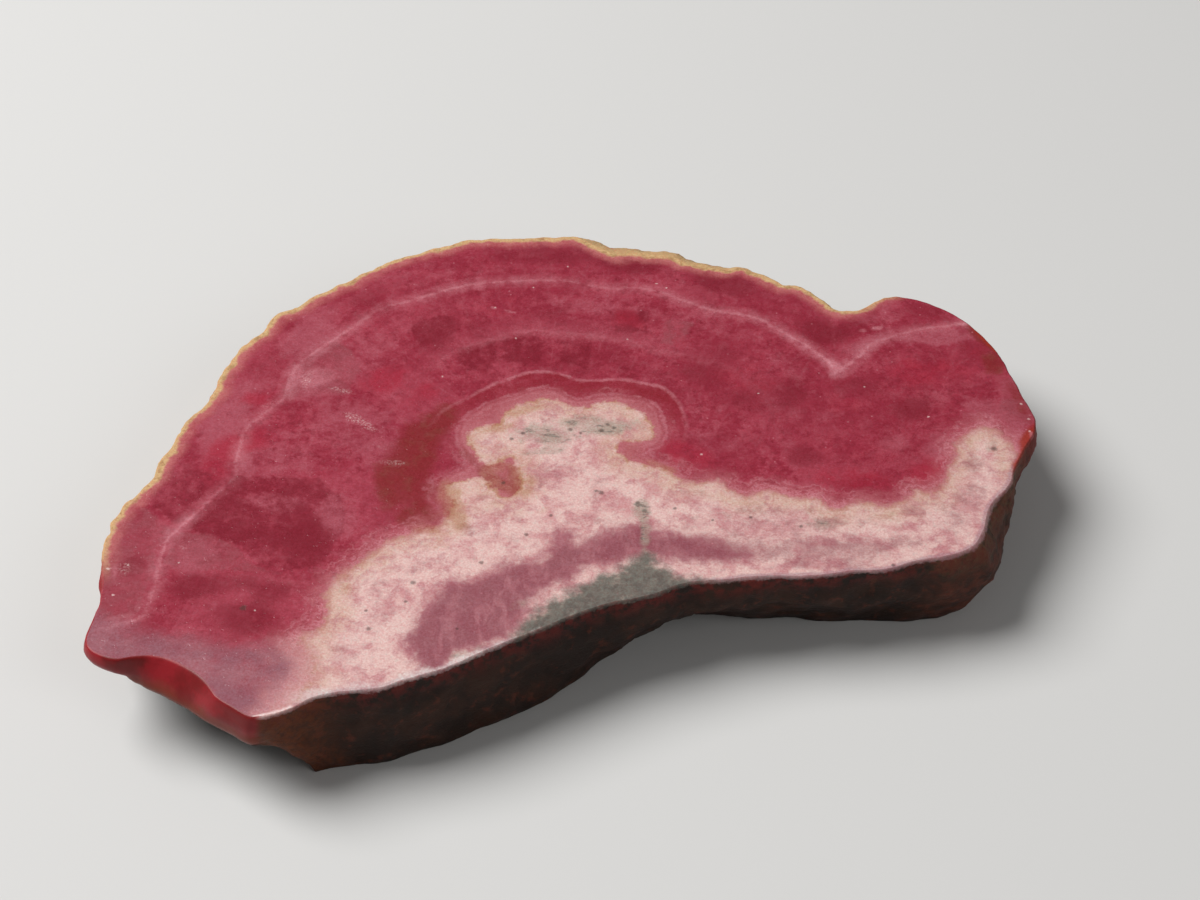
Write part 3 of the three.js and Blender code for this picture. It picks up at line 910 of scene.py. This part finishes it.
def growBody(net):
    # fine bands along the growth, and fibres across it in fans that differ a little from each other
    bandPlace = net.point(net.calc("MULTIPLY", net.shifted("age", mottle=0.06), 9.0))
    along = net.shifted(net.calc("MULTIPLY", "alongFront", 0.3), broad=1.6, small=0.25)
    across = net.shifted(net.calc("MULTIPLY", "age", 2.2), other=0.9)
    sockets = {"Vector": net.point(along, across), "Scale": 1.0, "Smoothness": 0.2}
    fans = net.add("TexVoronoi", sockets, feature="SMOOTH_F1").outputs["Color"]
    along = net.shifted(net.calc("MULTIPLY", "alongFront", 1.9), mottle=1.1)
    across = net.calc("MULTIPLY", net.shifted("age", small=0.12), 4.5)
    net.named.update(
        bands=net.cloud(bandPlace, 0.55, 3, 0.6),
        fans=net.add("SeparateColor", {0: fans}).outputs[0],
        fibres=net.cloud(net.point(along, across), 1.0, 4, 0.62),
    )
    body = net.layered(
        "deepRaspberry",
        ("broad", 0.34, 0.56, 1.0, "raspberry"),
        ("broad", 0.48, 0.74, 0.8, "dustyRose"),
        ("mottle", 0.52, 0.36, 0.7, "deepRaspberry"),
        ("mottle", 0.52, 0.7, 0.7, "dustyRose"),
        ("small", 0.5, 0.34, 0.55, "deepTone"),
        ("small", 0.52, 0.68, 0.35, "dustyTone"),
        ("other", 0.54, 0.7, 0.4, "dustyTone"),
        ("bands", 0.52, 0.34, 0.25, "deepRaspberry"),
        ("bands", 0.52, 0.72, 0.25, "dustyRose"),
        ("fans", 0.5, 0.2, 0.4, "deepRaspberry"),
        ("fans", 0.55, 0.85, 0.35, "dustyRose"),
        ("fibres", 0.52, 0.3, 0.4, "deepRaspberry"),
        ("fibres", 0.52, 0.76, 0.45, "dustyTone"),
    )

    # blocks and patches of deeper, dustier, brighter and browner stone
    patchy = net.step("mottle", 0.66, 0.38, 0.35, 1.0)
    for name, tone, strength in (("dustyBlock", "mauve", 0.6), ("deepBlock", "deepTone", 0.75)):
        block = net.step(net.shifted(name, small=0.5, mottle=0.4), 0.12, -0.2)
        body = net.blend(net.product(block, patchy, strength), body, tone)
    patches = (("dusty", "dustyTone", 0.75), ("deep", "deepTone", 0.68), ("crimson", "crimson", 0.72))
    for name, tone, strength in patches:
        body = net.blend(net.ragged(name, 0.9, 0.15, 0.9, strength), body, tone)
    return stain(net, body, 0.8)


def stain(net, body, strength):
    # brown let in round the head of the core
    stainTone = net.layered("brownRed", ("other", 0.46, 0.66, 0.75, "brown"))
    return net.blend(net.ragged("brown", 0.9, 0.15, 0.95, strength), body, stainTone)


def growPauses(net, body, coreGap):
    # inside the middle pause the stone is deep red, and redder still inside the inner one
    middle = net.shifted("middle", mottle=0.7, small=0.3)
    inner = net.shifted("inner", small=0.3, mottle=0.4)
    halo = net.shifted("halo", small=0.4, crumb=0.3, mottle=0.6)
    within = net.product(net.step(middle, 0.35, -0.3), net.step(inner, -0.1, 0.2), "middleShows")
    body = net.blend(net.product(within, net.step("mottle", 0.7, 0.35, 0.0, 0.3)), body, "deepTone")
    ring = net.product(net.step(inner, 0.1, -0.1), "innerShows", net.step("mottle", 0.66, 0.36, 0.4, 0.9))
    body = net.blend(ring, body, "redRing")
    over = net.product(net.step(middle, -0.1, 0.2), net.step(middle, 2.2, 0.1), "middleShows", 0.35)
    body = net.blend(over, body, "dustyTone")
    fringeLayers = ((coreGap, 0.8, 0.1, 0.8, "halo"), ("small", 0.45, 0.62, 0.6, "halo"))
    fringe = net.product(net.step(halo, 0.1, -0.4), net.step("haloShows", 0.1, 0.7), 0.85)
    body = net.blend(fringe, body, net.layered("haloDeep", *fringeLayers))
    body = stain(net, body, net.product(fringe, 0.7))

    # each pause is a thin pale line, the outer one with a wide faint haze beside it
    broken = net.step("other", 0.3, 0.58, 0.25, 1.0)
    outer = net.shifted("outer", small=0.3, mottle=0.3)
    for gap, shows, half, soft, strength in (
        (outer, "outerShows", 0.01, 0.2, 0.55),
        (outer, "outerShows", 0.1, 0.8, 0.4),
        (middle, "middleShows", 0.05, 0.5, 0.16),
        (inner, "innerShows", 0.02, 0.22, 0.45),
        (halo, "haloShows", 0.02, 0.2, 0.42),
        (net.calc("ADD", halo, 0.42), "haloShows", 0.02, 0.12, 0.2),
    ):
        body = net.blend(net.product(net.stripe(gap, half, soft), shows, broken, strength), body, "pause")

    # a paler, greyer veil over the front left: painted sheen
    sheenVeil = net.step(net.shifted("sheenVeil", mottle=1.8, small=0.6), 1.0, -0.8)
    sheenVeilTone = net.layered("sheenVeil", ("broad", 0.4, 0.65, 0.4, "coreRose"))
    body = net.blend(net.product(sheenVeil, net.step("mottle", 0.3, 0.6, 0.6, 0.95)), body, sheenVeilTone)

    # pinker stone hugs the core, feathered, with faint scalloped ribbons where the head's halo ends
    away = net.calc("SUBTRACT", 1.0, net.product("haloShows", net.step("halo", 0.8, -0.2)))
    feather = net.shifted(coreGap, mottle=1.3, crumb=0.7)
    hug = net.product(net.step(feather, 1.7, 0.0), net.step("small", 0.3, 0.6, 0.4, 1.0), away, 0.75)
    body = net.blend(hug, body, "halo")
    nearVeil = net.product(net.step("sheenVeil", 2.0, -1.0), net.step(feather, 2.6, 0.2), 0.8)
    body = net.blend(nearVeil, body, "corePink")
    scallop = net.shifted(coreGap, other=1.5, small=0.4)
    scattered = net.product(net.step("broad", 0.38, 0.52), broken, away)
    for far, half, strength in ((0.5, 0.02, 0.5), (1.1, 0.03, 0.3)):
        ribbon = net.stripe(net.calc("SUBTRACT", scallop, far), half, 0.2)
        body = net.blend(net.product(ribbon, scattered, strength), body, "pause")
    return body


def growCore(net, place):
    # a felt of small pale crystals in soft rounded tufts, with pinker seams between them
    net.named["tufts"] = net.cloud(place, 1.5, 3, 0.55, 0.5)
    core = net.layered("corePink", ("tufts", 0.34, 0.6, 1.0, "coreWhite"))
    outside = net.step(net.shifted("core", mottle=2.0, broad=2.0), -2.2, -0.2)
    core = net.blend(net.product(outside, net.step("other", 0.3, 0.6, 0.3, 0.8)), core, "coreCream")
    core = net.layered(core, ("other", 0.5, 0.7, 0.6, "coreWhite"), ("mottle", 0.46, 0.3, 0.5, "coreRose"))
    aside = net.point(net.calc("MULTIPLY", "small", 1.6), net.calc("MULTIPLY", "other", 1.8))
    bent = net.add("VectorMath", {0: place, 1: aside}, operation="ADD").outputs[0]
    cells = net.add("TexVoronoi", {"Vector": bent, "Scale": 0.8}, feature="DISTANCE_TO_EDGE")
    seams = net.step(cells.outputs["Distance"], 0.14, 0.0)
    seams = net.product(seams, net.step("broad", 0.4, 0.56), net.step("tufts", 0.62, 0.42), 0.55)
    core = net.blend(seams, core, "coreRose")
    core = net.layered(core, ("crumb", 0.54, 0.72, 0.35, "coreGrey"), ("small", 0.44, 0.28, 0.3, "corePink"))

    # the rose band, streaked along the fibres, and blotches of rose, ochre and grey
    fibres = net.streaks(place, 0.2, 1.7, 0.8, 1.0, 4, 0.6, 0.4)
    roseEdge = net.shifted("roseBand", mottle=1.0)
    roseTone = net.layered(
        "rose",
        (fibres, 0.42, 0.7, 0.65, "roseLight"),
        (roseEdge, -0.9, 0.2, 0.5, "roseLight"),
    )
    roseCover = net.step(net.shifted("roseBand", mottle=1.5, other=1.0, small=0.6), 0.7, -0.6)
    core = net.blend(net.product(roseCover, 0.94), core, roseTone)
    for name, tone, waver, strength in (
        ("rosePatch", "rose", 1.5, 0.6),
        ("ochre", "ochre", 0.9, 0.6),
        ("grey", "coreGrey", 1.1, 0.75),
    ):
        core = net.blend(net.ragged(name, waver, 0.25, 1.1, strength), core, tone)
    wisps = net.step(net.streaks(place, -0.15, 0.9, 2.4, 0.9, 4, 0.6, 0.6), 0.54, 0.64)
    core = net.blend(net.product(net.ragged("grey", 0.8, 0.3, 0.9, 0.55), wisps), core, "greyDark")

    # a lilac thread along the broken front
    front = net.calc("SUBTRACT", net.calc("SUBTRACT", 1.0, "rind"), "chip")
    lilacRim = net.product(front, net.step(net.shifted("rim", other=0.4), 0.3, 0.08), 0.6)
    core = net.blend(lilacRim, core, "frontLilac")

    # the slate-grey patch, dark only in its middle, and white where the core comes to the front edge, partly
    # painted sheen
    slateGap = net.shifted("greyPatch", other=1.3, small=0.5)
    slateTone = net.layered("greyGreen", ("other", 0.5, 0.68, 0.5, "coreGrey"))
    middle = net.product(net.step(slateGap, 0.0, -0.9), net.step("small", 0.6, 0.36), 0.75)
    slateTone = net.blend(middle, slateTone, "greyDark")
    core = net.blend(net.product(net.step(slateGap, 0.6, -0.4), 0.92), core, slateTone)
    return net.blend(net.ragged("rimWhite", 0.9, 0.25, 0.9, 0.75), core, "frontWhite")


def growRind(net, result):
    # a tan crust at the rim, with pink under it
    rimGap = net.shifted("rim", small=0.35, mottle=0.7, broad=0.8)
    under = net.product("rind", net.step(rimGap, 1.2, 0.25), net.step("other", 0.3, 0.6, 0.5, 0.95))
    result = net.blend(under, result, "underCrust")
    crust = net.product("rind", net.step(rimGap, 0.42, 0.14))
    return net.blend(crust, result, net.layered("crust", ("small", 0.52, 0.32, 0.7, "crustDark"))), crust


def scatterSpecks(net, place, result):
    # smears, rubbed places with painted glints, a painted glint line, dark specks, bright specks and dots
    # that are painted sparkles, and a fine grain over everything
    result = net.blend(net.ragged("pale", 0.5, 0.2, 1.0, 0.5), result, "pause")
    # painted glints: tiny specks of the glint colour in the rubbed places
    scuffGlint = net.product(net.ragged("scuffGlint", 0.9, 0.2, 1.1, 0.36), net.step("grain", 0.4, 0.7))
    result = net.blend(scuffGlint, result, "glint")
    # painted glint along the front left edge
    glint = net.product(net.step(net.shifted("glint", grain=0.12), 0.2, 0.06), 0.9)
    result = net.blend(glint, result, "glint")
    dark = net.step(net.shifted(net.calc("MULTIPLY", "speck", -1.0), grain=0.9), 0.25, 0.7)
    result = net.blend(net.product(dark, 0.62), result, "speck")
    # painted sparkles: the bright specks take the glint colour
    bright = net.step(net.shifted("speck", grain=0.9), 0.35, 0.8)
    result = net.blend(net.product(bright, 0.48), result, "glint")
    # painted sparkles: small pale dots scattered at random over the polish
    dots = net.add("TexVoronoi", {"Vector": place, "Scale": 1.25}).outputs
    chosen = net.step(net.add("SeparateColor", {0: dots["Color"]}).outputs[0], 0.6, 0.75)
    result = net.blend(net.product(net.step(dots["Distance"], 0.11, 0.04), chosen, 0.4), result, "pause")
    fine = net.raised(net.calc("MULTIPLY", "grain", 0.55), ("crumb", 0.45))
    redGrain = net.step(fine, 0.34, 0.66, 0.9, 1.09)
    dustGrain = net.step(fine, 0.34, 0.66, 0.78, 1.22)
    result = net.blend(1.0, result, net.point(redGrain, dustGrain, dustGrain), "MULTIPLY")
    return result, net.calc("MAXIMUM", dark, bright)


def makeBandsGroup():
    # the colour of the stone as grown: core, growth bands, pauses and rind, on any surface cut through it
    group = bpy.data.node_groups.new("growthBands", "ShaderNodeTree")
    group.interface.new_socket("Place", in_out="INPUT", socket_type="NodeSocketVector")
    for name, kind in (("Colour", "Color"), ("Core", "Float"), ("Crust", "Float"), ("Speck", "Float")):
        group.interface.new_socket(name, in_out="OUTPUT", socket_type="NodeSocket" + kind)
    net = Wiring(group, palette)
    place = group.nodes.new("NodeGroupInput").outputs["Place"]
    takeClouds(net, place)
    net.takeFields(*fieldNames)

    coreGap = net.shifted("core", small=0.7, mottle=0.7, other=0.5, crumb=0.4)
    body = growPauses(net, growBody(net), coreGap)
    stained = net.product(net.ragged("ochre", 0.8, 0.25, 1.0, 0.8), net.step(coreGap, 1.4, 0.0))
    body = net.blend(stained, body, net.layered("tan", ("other", 0.4, 0.6, 0.8, "rust")))
    # the core ends crisply round its head and fades out elsewhere
    crisp = net.product(net.step("haloShows", 0.3, 0.9), net.step("halo", 0.8, 0.0))
    soft = net.calc("ADD", net.step(crisp, 0.0, 0.7, 0.42, 0.18), net.step("sheenVeil", 2.2, -0.6, 0.0, 0.9))
    inCore = net.step(coreGap, soft, net.calc("MULTIPLY", soft, -1.0))
    result = net.blend(inCore, body, growCore(net, place))
    tanEdge = net.stripe(net.calc("ADD", coreGap, 0.03), 0.02, 0.17)
    tanEdge = net.product(tanEdge, net.step("other", 0.42, 0.6), net.step(crisp, 0.0, 0.7, 0.3, 0.6))
    result = net.blend(tanEdge, result, "ochre")
    result = net.blend(net.ragged("rimBrown", 0.6, 0.25, 0.8, 0.85), result, "rimBrown")
    result, crust = growRind(net, result)
    result, speck = scatterSpecks(net, place, result)

    finish = group.nodes.new("NodeGroupOutput")
    for name, value in (("Colour", result), ("Core", inCore), ("Crust", crust), ("Speck", speck)):
        net.join(value, finish.inputs[name])
    return group


glowDepth = (0.9, 0.22, 0.25)  # how far red, green and blue light wander in the stone, in millimetres


def startMaterial(name, bands, look=()):
    # a material with the growth bands in it, and its place on the stone in millimetres
    material = bpy.data.materials.new(name)
    material.use_nodes = True
    net = Wiring(material.node_tree, look)
    where = net.add("TexCoord").outputs["Object"]
    place = net.add("VectorMath", {0: where, "Scale": 1 / mm}, operation="SCALE").outputs[0]
    grown = net.add("Group", node_tree=bands)
    net.join(place, grown.inputs["Place"])
    return material, net, place, grown.outputs


def finishMaterial(material, net, colourMap, rough, height, look):
    # light wanders a little way under the surface of the stone
    shader = material.node_tree.nodes["Principled BSDF"]
    net.join(colourMap, shader.inputs["Base Color"])
    net.join(rough, shader.inputs["Roughness"])
    bump = net.add("Bump", {"Height": height, "Strength": look["bump"], "Distance": look["relief"] * mm})
    net.join(bump.outputs[0], shader.inputs["Normal"])
    shader.inputs["Specular IOR Level"].default_value = look["shine"]
    shader.inputs["Subsurface Weight"].default_value = look["glow"]
    shader.inputs["Subsurface Radius"].default_value = glowDepth
    shader.inputs["Subsurface Scale"].default_value = mm
    return material


polish = {
    "roughness": 0.22,
    "coreRoughness": 0.34,
    "crustRoughness": 0.7,
    "shine": 0.35,
    "bump": 0.5,
    "relief": 0.03,  # millimetres
    "glow": 0.12,  # share of the light that wanders under the surface
}


def makePolished(bands):
    material, net, place, grown = startMaterial("polishedCut", bands)
    net.named.update(grain=net.cloud(place, 0.16, 3, 0.6), patches=net.cloud(place, 2.4, 3, 0.6))
    rough = net.raised(
        net.shifted(polish["roughness"], patches=0.2),
        (grown["Core"], polish["coreRoughness"] - polish["roughness"]),
        (grown["Crust"], polish["crustRoughness"] - polish["roughness"]),
        ("grain", 0.08),
    )
    # the saw's faint parallel scores, and small pits where grains were plucked out
    scores = net.streaks(place, 0.5, 0.12, 6.0, 1.0, 3, 0.6)
    pits = net.step(net.cloud(place, 0.3, 2, 0.5), 0.36, 0.26)
    height = net.calc("MULTIPLY", "grain", 0.2)
    height = net.raised(height, (scores, 0.1), (pits, -0.6), (grown["Speck"], -0.5))
    return finishMaterial(material, net, grown["Colour"], rough, height, polish)


wallFinish = {
    # dark and brown are partly the stone's own dark matrix and partly painted shade on the wall
    "dark": (36, 22, 16),
    "brown": (58, 33, 22),
    "rust": (98, 46, 30),
    "red": (108, 32, 28),
    "olive": (104, 78, 54),
    "amber": (108, 52, 22),
    "rindTan": (178, 140, 98),
    "rindOchre": (136, 106, 68),
    "rindDark": (88, 66, 46),
    "rindPink": (150, 84, 76),
    "rindEdge": (196, 158, 112),
    "chipRed": (146, 30, 38),
    "chipDark": (116, 24, 26),
    "chipAmber": (112, 46, 22),
    "roughness": 0.62,
    "shine": 0.25,
    "bump": 0.8,
    "relief": 0.12,  # millimetres
    "glow": 0.2,
}


def stainBroken(net, fresh):
    # dark stone, partly its own stain and partly painted shade, with rust and red where the bands come
    # through under the upper edge
    broken = net.layered("dark", ("broad", 0.42, 0.64, 0.8, "brown"), ("mottle", 0.54, 0.7, 0.55, "rust"))
    nearTop = net.step(net.shifted("depth", mottle=2.6), 1.7, 0.3)
    broken = net.blend(net.product(nearTop, net.step("mottle", 0.4, 0.6), 0.8), broken, "red")
    corner = net.step(net.shifted("across", broad=5.0), -12.5, -16.5)
    broken = net.blend(net.product(corner, net.step("small", 0.3, 0.7, 0.3, 0.8)), broken, "amber")
    rightEnd = net.step("across", 19.0, 23.0)
    broken = net.blend(net.product(rightEnd, net.step("mottle", 0.3, 0.66), 0.7), broken, "rust")
    nearTop = net.step(net.shifted("depth", mottle=3.0), 1.9, 0.4)
    broken = net.blend(net.product(rightEnd, nearTop, net.step("small", 0.3, 0.7), 0.55), broken, "olive")
    lobe = net.product(net.step("across", 15.0, 20.0), net.step(net.shifted("along", mottle=2.0), -2.0, 2.0))
    lobe = net.product(lobe, net.step(net.shifted("depth", broad=3.0), 4.6, 2.0), 0.85)
    broken = net.blend(lobe, broken, net.layered("chipDark", ("mottle", 0.4, 0.6, 1.0, "red")))
    nearTop = net.step(net.shifted("depth", mottle=1.4), 2.2, 1.0)
    broken = net.blend(net.product(net.step("across", -22.0, -25.0), nearTop, 0.9), broken, "chipRed")
    return net.layered(broken, (net.shifted("depth", small=0.4), 0.26, 0.08, 0.6, fresh))


def stainChip(net):
    # clear red stone, amber towards its lip, with painted shade in the hollow under it
    return net.layered(
        "chipDark",
        ("broad", 0.38, 0.6, 0.9, "chipRed"),
        (net.shifted("depth", mottle=0.9, broad=1.2), 0.9, 1.9, 0.85, "chipAmber"),
        # painted shade in the hollow under the chip
        (net.shifted("depth", small=0.3), 2.0, 2.4, 1.0, "dark"),
    )


def stainRind(net):
    # a crust of small tan and ochre crystals, with bare pink places and brown stains
    grains = (("mottle", 0.34, 0.6, 1.0, "rindTan"), ("small", 0.46, 0.34, 0.6, "rindDark"))
    rind = net.layered("rindOchre", *grains)
    bare = net.step(net.shifted("broad", mottle=0.5), 0.47, 0.4)
    rind = net.blend(net.product(bare, net.step("small", 0.3, 0.5, 0.5, 1.0), 0.8), rind, "rindPink")
    return net.layered(
        rind,
        (net.shifted("broad", mottle=0.4, small=0.2), 0.54, 0.64, 0.75, "rindDark"),
        (net.shifted("depth", mottle=1.2), 0.8, 0.2, 0.75, "rindEdge"),
    )


def makeWall(bands):
    material, net, place, grown = startMaterial("wallOfStone", bands, wallFinish)
    net.takeFields("growth", "wallKind")
    across, along, _ = net.add("SeparateXYZ", {0: place}).outputs
    net.named.update(
        across=across,
        along=along,
        broad=net.cloud(place, 2.6, 4, 0.6),
        mottle=net.cloud(place, 0.8, 4, 0.65),
        small=net.cloud(place, 0.28, 3, 0.6),
    )
    result = net.layered(
        stainBroken(net, grown["Colour"]),
        ("chip", 0.3, 0.7, 1.0, stainChip(net)),
        (net.shifted("rind", mottle=0.9, small=0.4), 0.3, 0.7, 1.0, stainRind(net)),
    )
    smoothChip = net.product("chip", net.step("depth", 2.5, 2.1))
    rough = net.raised(wallFinish["roughness"], (smoothChip, -0.3), ("rind", 0.16), ("small", 0.12))
    height = net.raised(net.calc("MULTIPLY", "small", 0.6), ("mottle", 1.2))
    height = net.product(height, net.step(smoothChip, 0.2, 0.8, 1.0, 0.15))
    return finishMaterial(material, net, result, rough, height, wallFinish)


def makeSlice():
    mesh, points, walls = buildStone(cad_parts[nodeName].data)
    print("stone shaped:", len(mesh.vertices), "points,", len(mesh.polygons), "faces")
    writeFields(mesh, points, walls)
    print("growth fields written")
    bands = makeBandsGroup()
    mesh.materials.append(makePolished(bands))
    mesh.materials.append(makeWall(bands))
    piece = bpy.data.objects.new("stone_slice", mesh)
    bpy.context.scene.collection.objects.link(piece)
    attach(piece, "root")
    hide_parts(nodeName)
    print("materials made")


makeSlice()
